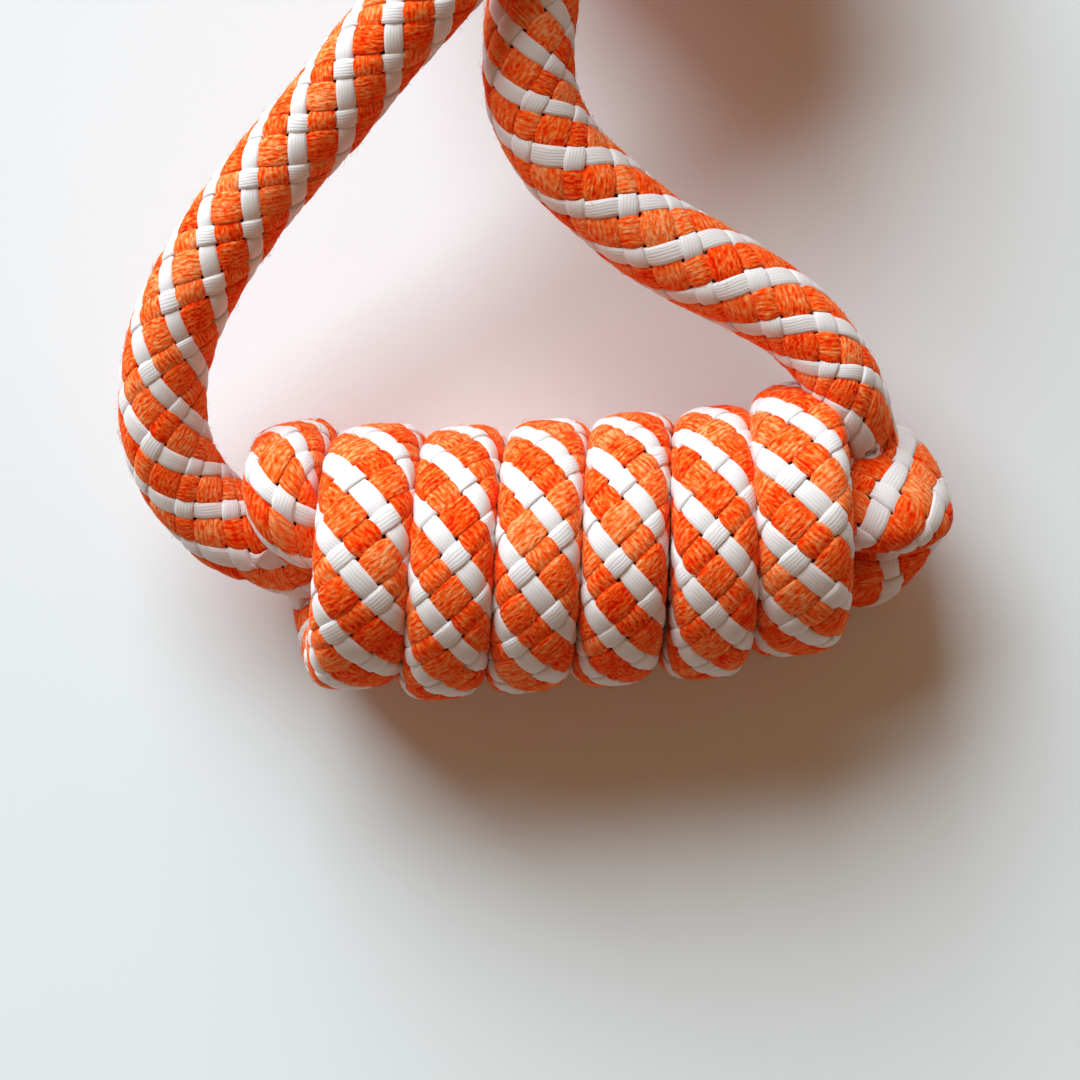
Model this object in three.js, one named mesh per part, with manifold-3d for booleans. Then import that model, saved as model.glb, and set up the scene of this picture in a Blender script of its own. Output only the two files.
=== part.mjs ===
// Rope dog toy: one thick braided rope, knotted into a wound grip, two legs and a ball.
// Millimetres, +Z up. X runs along the grip, Y from the grip to the ball, and the toy lies on z = 0.
import * as THREE from 'three';
import { mergeVertices } from 'three/addons/utils/BufferGeometryUtils.js';
import Module from 'manifold-3d';

const wasm = await Module();
wasm.setup();

// The rope
const ropeDiameter = 15;
const pieceGap = 0.3; // clearance between the end faces of two stretches
const cutGap = 0.35; // clearance where one stretch is pressed in by another
const flatDepth = ropeDiameter / 10; // how much the rope flattens where it lies on the table

// The wound grip
const gripTurns = 6;
const turnPitch = 14.85; // from one turn to the next
const wrapRadius = 16; // from the grip's axis to the middle of the wound rope
const wrapHalf = 6.8; // half of the rope, squeezed in the winding
const endTurnShift = 2.9; // the outermost turns sit nearer to the legs
const turnLeanShare = 0.24; // lean of the rightmost turn, in pitches
const leftCrowding = 0.3; // the turns left of the middle are pushed together, per turn
const firstTurnAngle = -205; // degrees, where the right bight becomes the first turn
const lastTurnAngle = 262; // degrees past the last whole turn, where the left bight starts
const rightBightHalf = 9.1; // half the width of the rope where the right bight spreads out
const leftBightHalf = 6; // and where the left bight is pinched under the last turn
const gripHalf = ((gripTurns - 1) / 2) * turnPitch; // from the grip's middle to its outermost turns
const gripHeight = wrapRadius + wrapHalf - flatDepth;

// Two strands of the same rope share the bore of the winding, flattened side by side
const boreRadius = wrapRadius - wrapHalf - cutGap;
const coreThinHalf = (boreRadius - pieceGap) / 2;
const coreOffset = coreThinHalf + pieceGap / 2;
const coreWideHalf = Math.sqrt(boreRadius ** 2 - coreOffset ** 2) * 0.93;
const coreHalf = 0.9 * gripHalf; // half the length of the straight strands
const leftCoreAngle = -70; // degrees, where the left leg's strand lies at the left end
const coreEndShift = 0.6 * endTurnShift; // the bore's mouths follow the outermost turns
const coreTwist = 154; // degrees that the two strands turn about each other

// The ball knot: three sets of two passes, each set over the one before, round a small core ball
const passWidthShare = 0.43; // half width of a pass, in rope diameters
const passThickShare = 0.363; // half thickness of a pass, in rope diameters
const passHalfWidth = passWidthShare * ropeDiameter;
const passHalfThick = passThickShare * ropeDiameter;
const passGap = 0.5; // clearance between passes
const ballCentreX = 18.65;
const ballCentreY = 138.9;
const legsEntry = new THREE.Vector3(-0.5, -0.79, 0.33); // side of the ball where the legs go in
const passWidth = 2 * passHalfWidth + passGap; // from one pass to the one beside it
const layerStep = 2 * passHalfThick + passGap; // from one set to the set over it
const shortHalf = passWidth / 2 + passHalfWidth + passHalfThick + passGap;
const stepHalf = 0.8 * shortHalf; // half the length in which one pass steps over to the next
const coreBallRadius = shortHalf - passHalfThick - passGap;

// Facets
const ringSides = 8;
const ringsPerTurn = 24;
const legSides = 10;
const legStepsPerDiameter = 1.5;

const radians = THREE.MathUtils.degToRad;
const vector = (x, y, z) => new THREE.Vector3(x, y, z);

// Solids

// One closed tube through a row of stations, each with a middle, a wide and a thin direction and half
function loft(stations, grow = 0) {
  const positions = [];
  const indices = [];
  for (const { middle, wideWay, thinWay, wide, thin } of stations) {
    for (let k = 0; k < ringSides; k += 1) {
      const angle = (2 * Math.PI * k) / ringSides;
      const point = middle.clone()
        .addScaledVector(wideWay, (wide + grow) * Math.cos(angle))
        .addScaledVector(thinWay, (thin + grow) * Math.sin(angle));
      positions.push(point.x, point.y, point.z);
    }
  }
  for (let i = 0; i < stations.length - 1; i += 1) {
    for (let k = 0; k < ringSides; k += 1) {
      const a = i * ringSides + k;
      const b = i * ringSides + ((k + 1) % ringSides);
      indices.push(a, b, a + ringSides, b, b + ringSides, a + ringSides);
    }
  }
  const last = (stations.length - 1) * ringSides;
  for (let k = 1; k < ringSides - 1; k += 1) {
    indices.push(0, k + 1, k, last, last + k, last + k + 1);
  }
  const geometry = new THREE.BufferGeometry();
  geometry.setAttribute('position', new THREE.Float32BufferAttribute(positions, 3));
  geometry.setIndex(indices);
  return geometry;
}

function toSolid(geometry) {
  const bare = geometry.clone();
  bare.deleteAttribute('normal');
  bare.deleteAttribute('uv');
  const merged = mergeVertices(bare);
  const mesh = new wasm.Mesh({
    numProp: 3,
    vertProperties: new Float32Array(merged.attributes.position.array),
    triVerts: new Uint32Array(merged.index.array),
  });
  return new wasm.Manifold(mesh);
}

function toGeometry(solid) {
  const mesh = solid.getMesh();
  const geometry = new THREE.BufferGeometry();
  geometry.setAttribute('position', new THREE.BufferAttribute(new Float32Array(mesh.vertProperties), 3));
  geometry.setIndex(new THREE.BufferAttribute(new Uint32Array(mesh.triVerts), 1));
  return geometry;
}

// What is left of a solid when its neighbours press into it: the largest body, without loose crumbs
function pressedBy(solid, neighbours) {
  const cut = neighbours.reduce((rest, neighbour) => rest.subtract(neighbour), solid);
  const bodies = cut.decompose().sort((a, b) => b.volume() - a.volume());
  return bodies[0];
}

// The table side: everything under z = 0 is flattened away
function tableBlock() {
  const size = 40 * ropeDiameter;
  const block = new THREE.BoxGeometry(size, size, size);
  block.translate(0, 0, -size / 2);
  return toSolid(block);
}

// Routes

// The wound rope's middle at an angle in degrees, 0 on top of the first turn at the right
function windingPoint(angle) {
  const turns = angle / 360;
  const fromMiddle = turns - (gripTurns - 1) / 2;
  const lean = turnLeanShare * turnPitch * (Math.min(fromMiddle, 0) / ((gripTurns - 1) / 2));
  const sine = Math.sin(radians(angle));
  const cosine = Math.cos(radians(angle));
  const wholeTurns = (gripTurns - 1) * 360;
  const first = 1 - THREE.MathUtils.smoothstep(angle, 60, 270);
  const last = THREE.MathUtils.smoothstep(angle, wholeTurns - 240, wholeTurns + 60);
  return vector(
    -fromMiddle * turnPitch - (lean / 2) * sine + leftCrowding * Math.max(fromMiddle, 0),
    -wrapRadius * sine + endTurnShift * (first + last),
    wrapRadius * cosine,
  );
}

// Section of one of the two strands in the bore, at a share of the way from left to right. It is
// square to the grip's axis; way is 1 for a strand that runs to the right and -1 to the left
function coreStation(share, turnedBy, way) {
  const angle = radians(leftCoreAngle + turnedBy + coreTwist * share);
  const thinWay = vector(0, Math.cos(angle), Math.sin(angle));
  const middle = thinWay.clone().multiplyScalar(coreOffset);
  const fromMiddle = 2 * share - 1;
  middle.x = coreHalf * fromMiddle;
  middle.y += coreEndShift * THREE.MathUtils.smoothstep(Math.abs(fromMiddle), 0.6, 1);
  const wideWay = thinWay.clone().cross(vector(way, 0, 0));
  return { middle, wideWay, thinWay, wide: coreWideHalf, thin: coreThinHalf };
}

// The bights' hand-chosen points: past the outermost turn in rope diameters, then across and up in
// wrap radii
const rightBightShares = [
  [0.19, 0.09, 0.295], [0.56, 0.24, 0.3], [0.95, 0.34, 0.19], [1.25, 0.31, -0.15],
  [1.28, 0.1, -0.56], [0.98, -0.1, -0.84],
];
const rightBendShares = [0.6, 0, -0.375];
const leftBightShares = [
  [0.66, 1.15, 0.25], [0.74, 0.94, 0.53], [0.76, 0.61, 0.57], [0.64, 0.34, 0.44],
  [0.3, 0.21, 0.325], [0.03, 0.06, 0.26],
];
const leftBendShares = [0.46, 0.31, -0.19];

function bightPoint([past, across, up], side) {
  return vector(side * (gripHalf + past * ropeDiameter), across * wrapRadius, up * wrapRadius);
}

// Stations along a smooth curve. thinHint(point, share) points to where the rope is thin, and
// halves(share) gives the wide and thin half there
function stationsAlong(points, count, thinHint, halves) {
  const curve = new THREE.CatmullRomCurve3(points);
  const stations = [];
  for (let i = 0; i <= count; i += 1) {
    const share = i / count;
    const middle = curve.getPoint(share);
    const along = curve.getTangent(share);
    const hint = thinHint(middle, share);
    const thinWay = hint.addScaledVector(along, -hint.dot(along)).normalize();
    const wideWay = thinWay.clone().cross(along).normalize();
    const [wide, thin] = halves(share);
    stations.push({ middle, wideWay, thinWay, wide, thin });
  }
  return stations;
}

// The whole winding, from the strand that comes out of the bore at the right to the one that goes
// back in at the left
function windingStations(fineness = 1) {
  const start = coreStation(1, 0, 1);
  const end = coreStation(0, 180, 1);
  const points = [start.middle];
  rightBightShares.forEach((share) => points.push(bightPoint(share, 1)));
  const helixStart = points.length;
  const lastAngle = (gripTurns - 1) * 360 + lastTurnAngle;
  const helixSteps = Math.round(((lastAngle - firstTurnAngle) / 360) * ringsPerTurn);
  for (let i = 0; i <= helixSteps; i += 1) {
    points.push(windingPoint(firstTurnAngle + ((lastAngle - firstTurnAngle) * i) / helixSteps));
  }
  const helixEnd = points.length - 1;
  leftBightShares.forEach((share) => points.push(bightPoint(share, -1)));
  points.push(end.middle);

  const last = points.length - 1;
  const rightBend = bightPoint(rightBendShares, 1);
  const leftBend = bightPoint(leftBendShares, -1);
  // Thin way: as in the bore at its mouths, then away from the middle of each bight's bend, then
  // away from the grip's axis
  const thinHint = (middle, share) => {
    const at = share * last;
    if (at >= helixStart && at <= helixEnd) return vector(0, middle.y, middle.z);
    const [mouth, bend, fromMouth] = at < helixStart
      ? [start, rightBend, at] : [end, leftBend, last - at];
    const away = middle.clone().sub(bend).normalize();
    return mouth.thinWay.clone().lerp(away, THREE.MathUtils.smoothstep(fromMouth, 1, 4));
  };
  // Flat in the bore, nearly round in the turns, and the right bight spreads between them
  const halves = (share) => {
    const fromBore = Math.min(share, 1 - share) * last;
    const round = THREE.MathUtils.smoothstep(fromBore, 0, helixStart - 1);
    const inBight = Math.sin(Math.PI * Math.min(fromBore / helixStart, 1));
    const spread = inBight * ((share < 0.5 ? rightBightHalf : leftBightHalf) - wrapHalf);
    return [
      THREE.MathUtils.lerp(coreWideHalf, wrapHalf, round) + spread,
      THREE.MathUtils.lerp(coreThinHalf, wrapHalf, round) + Math.min(spread, 0),
    ];
  };
  return [start, ...stationsAlong(points, last * fineness, thinHint, halves).slice(1, -1), end];
}

// The legs' hand-chosen routes, starting in the ball knot. Across is a share of the grip's half
// length and leans over with the ball, along is a share of the way to the ball, and up is the
// height over the table in rope diameters
const leftLegShares = [
  [-0.25, 0.846, 3.3], [-0.33, 0.816, 3.48], [-0.445, 0.78, 3.58], [-0.559, 0.74, 3.53], [-0.694, 0.696, 3.43],
  [-0.839, 0.655, 3.3], [-1.016, 0.607, 3.13], [-1.196, 0.551, 2.93], [-1.453, 0.479, 2.67],
  [-1.654, 0.413, 2.43], [-1.782, 0.36, 2.27], [-1.881, 0.304, 2.07], [-1.929, 0.243, 1.87],
  [-1.909, 0.177, 1.67], [-1.833, 0.13, 1.5], [-1.72, 0.092, 1.37], [-1.584, 0.059, 1.27],
];
const rightLegShares = [
  [-0.175, 0.857, 2.47], [-0.25, 0.8, 2.6], [-0.312, 0.745, 2.67], [-0.343, 0.662, 2.63],
  [-0.357, 0.601, 2.57], [-0.322, 0.54, 2.47], [-0.179, 0.477, 2.37], [0.025, 0.422, 2.27],
  [0.259, 0.375, 2.2], [0.492, 0.335, 2.13], [0.713, 0.296, 2.07], [0.916, 0.256, 2.0],
  [1.076, 0.21, 1.93], [1.18, 0.161, 1.8],
];

function legPoint([across, along, up]) {
  return vector(
    across * gripHalf + along * ballCentreX,
    along * ballCentreY,
    up * ropeDiameter - gripHeight,
  );
}

function legCurve(shares) {
  return new THREE.CatmullRomCurve3(shares.map(legPoint));
}

function legTube(curve, grow = 0) {
  const section = new THREE.Shape();
  for (let k = 0; k < legSides; k += 1) {
    const angle = (2 * Math.PI * k) / legSides;
    const x = (ropeDiameter / 2 + grow) * Math.cos(angle);
    const y = (ropeDiameter / 2 + grow) * Math.sin(angle);
    if (k === 0) section.moveTo(x, y);
    else section.lineTo(x, y);
  }
  const steps = Math.round((curve.getLength() / ropeDiameter) * legStepsPerDiameter);
  return new THREE.ExtrudeGeometry(section, { extrudePath: curve, steps, bevelEnabled: false });
}

// A strand in the bore, from a leg's end face through a few hand-chosen points to its mouth, then
// straight on, turning about the other strand, to the far bight's end face
function coreStrandStations(leg, mouthShares, side, turnedBy) {
  const legEnd = leg.getPoint(1);
  const along = leg.getTangent(1);
  const start = side < 0 ? 0 : 1;
  const coreSteps = 8;
  const gapShare = pieceGap / (2 * coreHalf);
  const inBore = [];
  for (let i = 0; i <= coreSteps; i += 1) {
    const share = Math.abs(start - (i / coreSteps) * (1 - gapShare));
    inBore.push(coreStation(share, turnedBy, -side));
  }
  const points = [
    legEnd.clone().addScaledVector(along, pieceGap),
    legEnd.clone().addScaledVector(along, pieceGap + ropeDiameter / 5),
    ...mouthShares.map((share) => bightPoint(share, side)),
    inBore[0].middle,
  ];
  const halves = (share) => {
    const flat = THREE.MathUtils.smoothstep(share, 0, 1);
    return [
      THREE.MathUtils.lerp(ropeDiameter / 2, coreWideHalf, flat),
      THREE.MathUtils.lerp(ropeDiameter / 2, coreThinHalf, flat),
    ];
  };
  const thinHint = () => inBore[0].thinWay.clone();
  const toMouth = stationsAlong(points, 2 * (points.length - 1), thinHint, halves);
  return [...toMouth.slice(0, -1), ...inBore];
}

// One set of two passes in the ball, as an unbroken tube: round once, over to the next place beside
// it where the next set hides the step, and round again. Along is the set's long way, up its short
// way and side the way from one pass to the other
function passStations(fineness = 1) {
  const stations = [];
  const add = (along, up, lift, side) => {
    stations.push({
      middle: vector(side, along, up),
      thinWay: vector(0, Math.sin(lift), Math.cos(lift)),
      wideWay: vector(-1, 0, 0),
      wide: passHalfWidth,
      thin: passHalfThick,
    });
  };
  const cornerSteps = 4 * fineness;
  const straightSteps = 2 * fineness;
  // Once round, from just past the step on top to just before it
  const roundOnce = (side) => {
    const corners = [[1, 1, 0], [1, -1, 1], [-1, -1, 2], [-1, 1, 3]];
    add(stepHalf, shortHalf, 0, side);
    corners.forEach(([alongSign, upSign, quarter], n) => {
      for (let i = 0; i <= cornerSteps; i += 1) {
        const lift = ((quarter + i / cornerSteps) * Math.PI) / 2;
        add(
          alongSign * shortHalf + layerStep * Math.sin(lift),
          (upSign * passWidth) / 2 + (shortHalf - passWidth / 2) * Math.cos(lift),
          lift,
          side,
        );
      }
      for (let i = 1; n === 1 && i < straightSteps; i += 1) {
        const way = 1 - (2 * i) / straightSteps;
        add(way * shortHalf, -shortHalf, Math.PI, side);
      }
    });
    add(-stepHalf, shortHalf, 0, side);
  };
  roundOnce(-passWidth / 2);
  const overSteps = 4 * fineness;
  for (let i = 1; i < overSteps; i += 1) {
    const way = (2 * i) / overSteps - 1;
    add(way * stepHalf, shortHalf, 0, (passWidth / 2) * Math.sin((way * Math.PI) / 2));
  }
  roundOnce(passWidth / 2);
  return stations;
}

// The least gap between two stretches of a tube that don't follow each other, on its points
function leastGap(stations) {
  const sides = 2 * ringSides;
  const rings = stations.map(({ middle, wideWay, thinWay, wide, thin }) => (
    Array.from({ length: sides }, (_, k) => {
      const angle = (2 * Math.PI * k) / sides;
      return middle.clone()
        .addScaledVector(wideWay, wide * Math.cos(angle))
        .addScaledVector(thinWay, thin * Math.sin(angle));
    })
  ));
  const lengths = [0];
  for (let i = 1; i < stations.length; i += 1) {
    lengths.push(lengths[i - 1] + stations[i].middle.distanceTo(stations[i - 1].middle));
  }
  let least = Infinity;
  for (let i = 0; i < rings.length; i += 1) {
    for (let j = i + 1; j < rings.length; j += 1) {
      const far = stations[i].middle.distanceTo(stations[j].middle) > 2 * ropeDiameter;
      if (lengths[j] - lengths[i] < 2.5 * ropeDiameter || far) continue;
      for (const a of rings[i]) {
        for (const b of rings[j]) least = Math.min(least, a.distanceTo(b));
      }
    }
  }
  return least;
}

// Assembly

const cotton = new THREE.MeshStandardMaterial({ color: 0xe0591b, roughness: 0.95, metalness: 0 });
const rubber = new THREE.MeshStandardMaterial({ color: 0x2b2b2e, roughness: 0.8, metalness: 0 });

const toy = new THREE.Group();
const table = tableBlock();

function addMesh(parent, name, geometry, material) {
  const mesh = new THREE.Mesh(geometry, material);
  mesh.name = name;
  parent.add(mesh);
  return mesh;
}

// The grip's own group stands its axis at its height over the table
const grip = new THREE.Group();
grip.position.z = gripHeight;
toy.add(grip);
const tableUnderGrip = table.translate([0, 0, -gripHeight]);

// The ball's group: a corner between its three sets faces the legs, and a side of it faces the table
const ball = new THREE.Group();
const ballCorner = vector(1, 1, 1).normalize();
const ballDown = vector(0, 0, -1);
function basisFrom(first, second) {
  const one = first.clone().normalize();
  const two = second.clone().addScaledVector(one, -second.dot(one)).normalize();
  return new THREE.Matrix4().makeBasis(one, two, one.clone().cross(two));
}
ball.quaternion.setFromRotationMatrix(
  basisFrom(legsEntry, ballDown).multiply(basisFrom(ballCorner, ballDown).transpose()),
);
toy.add(ball);

// Each set is the first one with its axes changed round
const setNames = ['ball_passes_inner', 'ball_passes_middle', 'ball_passes_outer'];
const setTurns = [
  new THREE.Matrix4(),
  new THREE.Matrix4().makeBasis(vector(0, 1, 0), vector(0, 0, 1), vector(1, 0, 0)),
  new THREE.Matrix4().makeBasis(vector(0, 0, 1), vector(1, 0, 0), vector(0, 1, 0)),
];
const passes = passStations();
const setGeometries = setTurns.map((turn) => loft(passes).applyMatrix4(turn));
const ballTurned = new THREE.Matrix4().makeRotationFromQuaternion(ball.quaternion);
const lowest = Math.min(...setGeometries.map((geometry) => {
  const turned = geometry.clone().applyMatrix4(ballTurned);
  turned.computeBoundingBox();
  return turned.boundingBox.min.z;
}));
ball.position.set(ballCentreX, ballCentreY, -lowest - flatDepth);
ball.updateMatrixWorld(true);
const intoBall = ball.matrixWorld.clone().invert();

setGeometries.forEach((geometry, n) => {
  const onTable = toSolid(geometry.clone().applyMatrix4(ball.matrixWorld)).subtract(table);
  addMesh(ball, setNames[n], toGeometry(onTable).applyMatrix4(intoBall), cotton);
});
addMesh(ball, 'ball_core', new THREE.IcosahedronGeometry(coreBallRadius, 3), rubber);

// The winding, then what it presses into
const windingRow = windingStations();
const winding = toSolid(loft(windingRow)).subtract(tableUnderGrip);
addMesh(grip, 'grip_winding', toGeometry(winding), cotton);
const windingPress = toSolid(loft(windingRow, cutGap));
const ballPress = setTurns.map((turn) => {
  const grown = loft(passes, cutGap).applyMatrix4(turn).applyMatrix4(ball.matrixWorld);
  return toSolid(grown).translate([0, 0, -gripHeight]);
});

const leftLeg = legCurve(leftLegShares);
const rightLeg = legCurve(rightLegShares);
const leftMouthShares = [[0.83, 0.245, -0.26], [0.5, 0.14, -0.268]];
const rightMouthShares = [[0.74, 0.75, -0.09], [0.68, 0.46, -0.27], [0.4, 0.15, -0.3]];
const leftCore = toSolid(loft(coreStrandStations(leftLeg, leftMouthShares, -1, 0)));
const rightCore = toSolid(loft(coreStrandStations(rightLeg, rightMouthShares, 1, 180)));

const legPress = [windingPress, ...ballPress];
const rightLegPress = toSolid(legTube(rightLeg, cutGap));
const leftLegSolid = pressedBy(toSolid(legTube(leftLeg)), [...legPress, rightLegPress]);
const rightLegSolid = pressedBy(toSolid(legTube(rightLeg)), legPress);
addMesh(grip, 'rope_leg_left', toGeometry(leftLegSolid), cotton);
addMesh(grip, 'rope_leg_right', toGeometry(rightLegSolid), cotton);
const leftCoreSolid = pressedBy(leftCore, [windingPress]);
const rightCoreSolid = pressedBy(rightCore, [windingPress]);
addMesh(grip, 'grip_core_strand_left_leg', toGeometry(leftCoreSolid), cotton);
addMesh(grip, 'grip_core_strand_right_leg', toGeometry(rightCoreSolid), cotton);

// Printed so that a change of a size that closes a gap shows
console.log(`least gap of the winding to itself: ${leastGap(windingStations(3)).toFixed(2)} mm`);
console.log(`least gap of a set of passes to itself: ${leastGap(passStations(3)).toFixed(2)} mm`);

// The toy's frame: the middle of its outline on the table
const outline = new THREE.Box3().setFromObject(toy, true);
const outlineMiddle = outline.getCenter(vector(0, 0, 0));
toy.position.set(-outlineMiddle.x, -outlineMiddle.y, 0);

export default toy;
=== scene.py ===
# %% [markdown]
# # A braided rope dog toy
#
# One thick cotton rope makes the whole toy. It is wound into a grip, two free legs leave the grip
# at its ends, and a ball knot holds the legs together. The rope is a tubular braid of orange
# cotton and white shiny yarn. The frame from CAD holds every stretch as a plain tube, and this
# lesson lays a real braid along the same routes.

import math

import bpy
import numpy as np
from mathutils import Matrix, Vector


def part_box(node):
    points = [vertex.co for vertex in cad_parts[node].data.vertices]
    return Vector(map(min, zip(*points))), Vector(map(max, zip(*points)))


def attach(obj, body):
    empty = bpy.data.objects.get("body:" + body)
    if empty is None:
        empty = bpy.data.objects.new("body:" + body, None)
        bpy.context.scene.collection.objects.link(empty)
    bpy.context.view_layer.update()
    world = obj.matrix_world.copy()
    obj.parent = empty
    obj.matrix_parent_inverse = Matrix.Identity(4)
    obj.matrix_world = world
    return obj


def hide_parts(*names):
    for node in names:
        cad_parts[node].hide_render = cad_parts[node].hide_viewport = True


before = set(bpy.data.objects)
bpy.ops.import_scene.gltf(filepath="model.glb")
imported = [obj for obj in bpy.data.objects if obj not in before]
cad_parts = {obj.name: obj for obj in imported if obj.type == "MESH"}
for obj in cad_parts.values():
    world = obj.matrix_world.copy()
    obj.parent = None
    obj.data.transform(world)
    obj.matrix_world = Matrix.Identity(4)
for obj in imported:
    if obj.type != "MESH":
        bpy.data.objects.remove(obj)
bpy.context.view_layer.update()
print("CAD nodes:", sorted(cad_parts))

# %% [markdown]
# ## Sizes
#
# The numbers are the rope's own. The ball's centre is where CAD has its core, the grip's axis is
# counted from there, and everything else from those two places. Blender works in metres, so every
# length is written in millimetres and multiplied by MM.

# %% Sizes
MM = 0.001
ROPE = 15 * MM
GRIP_TO_BALL = np.array([18.65, 138.9]) * MM
GRIP_HEIGHT = 21.3 * MM
BALL_CENTRE = sum(np.array(corner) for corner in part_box("ball_core")) / 2
GRIP_AXIS = np.array([*(BALL_CENTRE[:2] - GRIP_TO_BALL), GRIP_HEIGHT])
TURNS = 6
TURN_PITCH = 14.85 * MM
MIDDLE_TURN = (TURNS - 1) / 2
GRIP_HALF = MIDDLE_TURN * TURN_PITCH
WRAP_RADIUS = 16 * MM
STRANDS_EACH_WAY = 8
print(f"grip {2 * GRIP_HALF / MM:.1f} mm between its outermost turns")

# %% [markdown]
# ## Camera
#
# The photo looks straight down from about 0.7 m, turned by a few degrees. The camera comes before
# the rope, because the rope's free legs are measured against what it sees.

# %% Camera
PHOTO_WIDTH = 181.98 * MM
CAMERA_DISTANCE = 700 * MM
CAMERA_OVER_GRIP = np.array([-6.385, 2.641, 0.3]) * MM
CAMERA_TURN = math.radians(-4.47)
SENSOR = 36
camera_data = bpy.data.cameras.new("photo_camera")
camera_data.sensor_width = SENSOR
camera_data.lens = SENSOR * CAMERA_DISTANCE / PHOTO_WIDTH
camera = bpy.data.objects.new("photo_camera", camera_data)
bpy.context.collection.objects.link(camera)
camera.location = GRIP_AXIS + CAMERA_OVER_GRIP + np.array([0, 0, CAMERA_DISTANCE])
camera.rotation_euler = (0, 0, CAMERA_TURN)
bpy.context.scene.camera = camera
print(f"lens {camera_data.lens:.0f} mm")

# %% [markdown]
# ## Routes
#
# A bent tube could be made with a curve and a bevel, but then the rope would be round all along,
# and its braid would know nothing of its neighbours. So the rope is worked out here, as numbers.
#
# A route is a row of stations. Each one holds a point, the way in which the rope is squeezed thin
# there, half its width and half its thickness, how square its section is, and its lead: the
# length in which a strand of the braid goes round the rope once. Where the rope is bent round the
# grip the braid is pushed together, so the lead is short. The leads in the bore bring the pattern
# to where the photo shows it on the turns and on the right leg. Spread is how much wider the
# squares of the braid are on the outer side, where a bent rope is stretched. Nobody winds a rope
# evenly, so the last two numbers say by how many squares the braid has slipped ahead there, and
# by how many squares the rope is rolled about its own line.

# %% A station of the rope
FREE_LEAD = 48.9 * MM
WOUND_LEAD = 39.38 * MM
BORE_LEAD = 45.9 * MM
ROUND, FLATTENED, PRESSED = 2.0, 2.5, 3.0
WOUND_SPREAD = 0.12
POINT, THIN_WAY, VALUES = slice(0, 3), slice(3, 6), slice(6, 13)


def station(point, thin_way, wide, thin, square, lead, spread=WOUND_SPREAD, slip=0, roll=0):
    return [*point, *thin_way, wide, thin, square, lead, spread, slip, roll]


def in_grip(past, across, up):
    """A point beside the outermost turn: past it in rope diameters, the rest in wrap radii."""
    side = math.copysign(1, past)
    return np.array([side * GRIP_HALF + past * ROPE, across * WRAP_RADIUS, up * WRAP_RADIUS])


def smoothstep(x, low, high):
    """0 up to low, 1 from high on, and a soft step between them."""
    t = np.clip((x - low) / (high - low), 0, 1)
    return t * t * (3 - 2 * t)


# %% [markdown]
# The legs are free, so their routes are points chosen on the photo. Across is a share of the grip's
# half length and leans over with the ball, along is a share of the way to the ball, and up is a
# height over the table in rope diameters.

# %% The legs' routes
LEFT_LEG = [
    (-0.25, 0.846, 3.3), (-0.33, 0.816, 3.48), (-0.445, 0.78, 3.58), (-0.559, 0.74, 3.53),
    (-0.694, 0.696, 3.43), (-0.839, 0.655, 3.3), (-1.016, 0.607, 3.13), (-1.196, 0.551, 2.93),
    (-1.453, 0.479, 2.67), (-1.654, 0.413, 2.43), (-1.782, 0.36, 2.27), (-1.881, 0.304, 2.07),
    (-1.929, 0.243, 1.87), (-1.909, 0.177, 1.67), (-1.833, 0.13, 1.5), (-1.72, 0.092, 1.37),
    (-1.584, 0.059, 1.27),
]
RIGHT_LEG = [
    (-0.175, 0.857, 2.47), (-0.25, 0.8, 2.6), (-0.312, 0.745, 2.67), (-0.343, 0.662, 2.63),
    (-0.355, 0.601, 2.57), (-0.322, 0.54, 2.47), (-0.188, 0.475, 2.37), (0.02, 0.421, 2.27),
    (0.246, 0.37, 2.2), (0.484, 0.331, 2.13), (0.711, 0.295, 2.07), (0.918, 0.256, 2.0),
    (1.076, 0.21, 1.93), (1.18, 0.161, 1.8),
]
print(len(LEFT_LEG), "points on the left leg,", len(RIGHT_LEG), "on the right leg")

# %% [markdown]
# How the rope lies on its route is read off the photo for some of the points, counted from the
# ball. The lay gives the slip and the roll of the braid. The flat gives how much flatter the leg
# is, in millimetres: the right leg is pressed a little flat on its way, and stands on edge where it
# enters the grip.

# %% The legs' braid
LEFT_LEG_FLAT = [(0, 0)]
RIGHT_LEG_FLAT = [(0, 0), (6, 0.3), (9, 0.3), (11, -0.5), (12, -0.95), (13, -1.05)]
LEFT_LEG_LAY = [
    (5, -0.07, 0.17), (8, 0.03, 0.1), (10, 0.08, 0.08), (13, 0.13, 0.38), (15, 0.28, 0.5),
]
RIGHT_LEG_LAY = [
    (3, 0.4, 0.55), (4, 0.36, 0.22), (5, 0.28, -0.26), (6, 0.15, -0.5), (7, 0.12, -0.53),
    (9, 0.2, -0.65), (11, 0.26, -0.76), (12, 0.26, -1.0), (13, -0.4, -1.0),
]
LEFT_LEG_SPREAD, RIGHT_LEG_SPREAD = 0.03, 0.2


def leg_stations(shares, flat, lay, spread):
    rows = []
    flat_places, flats = zip(*flat)
    lay_places, slips, rolls = zip(*lay)
    for n, (across, along, up) in enumerate(shares):
        flatter = float(np.interp(n, flat_places, flats)) * MM
        point = (
            across * GRIP_HALF + along * GRIP_TO_BALL[0],
            along * GRIP_TO_BALL[1],
            up * ROPE - GRIP_AXIS[2],
        )
        wide, thin = ROPE / 2 + flatter, ROPE / 2 - flatter
        slip, roll = np.interp(n, lay_places, slips), np.interp(n, lay_places, rolls)
        rows.append(station(point, (0, 0, 1), wide, thin, ROUND, FREE_LEAD, spread, slip, roll))
    return rows


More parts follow.
